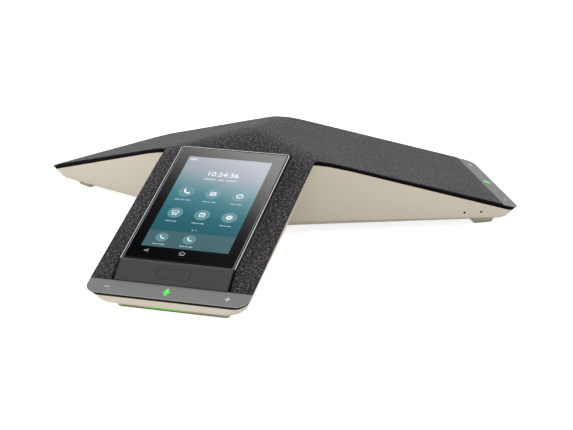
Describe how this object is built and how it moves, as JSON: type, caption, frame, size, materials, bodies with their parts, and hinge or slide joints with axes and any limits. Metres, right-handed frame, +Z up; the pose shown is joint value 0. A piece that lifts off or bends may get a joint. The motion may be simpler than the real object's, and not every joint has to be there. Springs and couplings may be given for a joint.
{
  "type": "desk conference phone",
  "caption": "Three-armed tabletop conference phone: cloth-covered sloping roof on an undercut housing, touch screen on the front arm, touch bar and lit foot under each tip.",
  "frame": {"origin": "middle of the object's outline at the table, under the hub and a little in front of it", "axes": "+Z up, -Y along the front arm that carries the screen, +X to the right of someone reading the screen"},
  "size_m": [0.3818, 0.3329, 0.0747],
  "materials": {
    "housing_plastic": "satin champagne-beige moulding",
    "frame_plastic": "black moulding, fine texture",
    "cover_cloth": "tight charcoal heather knit",
    "bar_plastic": "satin mid grey",
    "circuit_board": "green solder mask",
    "foot_plastic": "satin beige-brown",
    "sole_rubber": "matt",
    "light_guide": "frosted translucent",
    "ribbon_film": "film over copper tracks",
    "bezel_plastic": "satin black with a bright chamfer",
    "screen_glass": "black-backed cover glass",
    "display_panel": "lit display panel",
    "chin_plastic": "fine-textured dark grey",
    "key_plastic": "fine-textured dark grey",
    "port_metal": "tinned sheet",
    "basket_steel": "black stove finish",
    "magnet_ferrite": "ground ferrite and plated steel",
    "cone_paper": "coated paper",
    "coil_copper": "enamelled copper",
    "surround_rubber": "soft matt",
    "screw_steel": "zinc plated"
  },
  "bodies": {
    "phone": {"base_housing": "housing_plastic", "top_frame": "frame_plastic", "fabric_cover": "cover_cloth", "touch_bar_front": "bar_plastic", "touch_bar_right": "bar_plastic", "touch_bar_left": "bar_plastic", "touch_board_front": "circuit_board", "touch_board_right": "circuit_board", "touch_board_left": "circuit_board", "foot_front": "foot_plastic", "foot_right": "foot_plastic", "foot_left": "foot_plastic", "foot_sole_front": "sole_rubber", "foot_sole_right": "sole_rubber", "foot_sole_left": "sole_rubber", "light_guide_front": "light_guide", "light_guide_right": "light_guide", "light_guide_left": "light_guide", "led_board_front": "circuit_board", "led_board_right": "circuit_board", "led_board_left": "circuit_board", "mic_board_front": "circuit_board", "mic_board_right": "circuit_board", "mic_board_left": "circuit_board", "arm_ribbon_front": "ribbon_film", "arm_ribbon_right": "ribbon_film", "arm_ribbon_left": "ribbon_film", "display_frame": "bezel_plastic", "display_glass": "screen_glass", "lcd_panel": "display_panel", "display_board": "circuit_board", "chin_cover": "chin_plastic", "key_switch": "circuit_board", "main_board": "circuit_board", "shield_can": "port_metal", "ethernet_jack": "port_metal", "usb_a_port": "port_metal", "usb_c_port": "port_metal", "mic_jack_inner": "frame_plastic", "mic_jack_outer": "frame_plastic", "speaker_basket": "basket_steel", "speaker_magnet": "magnet_ferrite", "speaker_surround": "surround_rubber", "speaker_gasket": "surround_rubber", "speaker_chamber": "frame_plastic", "housing_screws": "screw_steel", "board_screws": "screw_steel", "foot_screws": "screw_steel", "speaker_screws": "screw_steel"},
    "key": {"chin_key": "key_plastic"},
    "cone": {"speaker_cone": "cone_paper", "voice_coil": "coil_copper"}
  },
  "joints": [
    {"name": "key_press", "type": "slide", "parent": "phone", "child": "key", "axis": [0, 0.314, -0.9494], "range_m": [0, 0.0003], "stiffness_N_per_m": 3000, "springref_m": -0.0003},
    {"name": "cone_slide", "type": "slide", "parent": "phone", "child": "cone", "axis": [0, 0, 1], "range_m": [-0.001, 0.001], "stiffness_N_per_m": 1500, "deforming": ["speaker_surround"]}
  ]
}
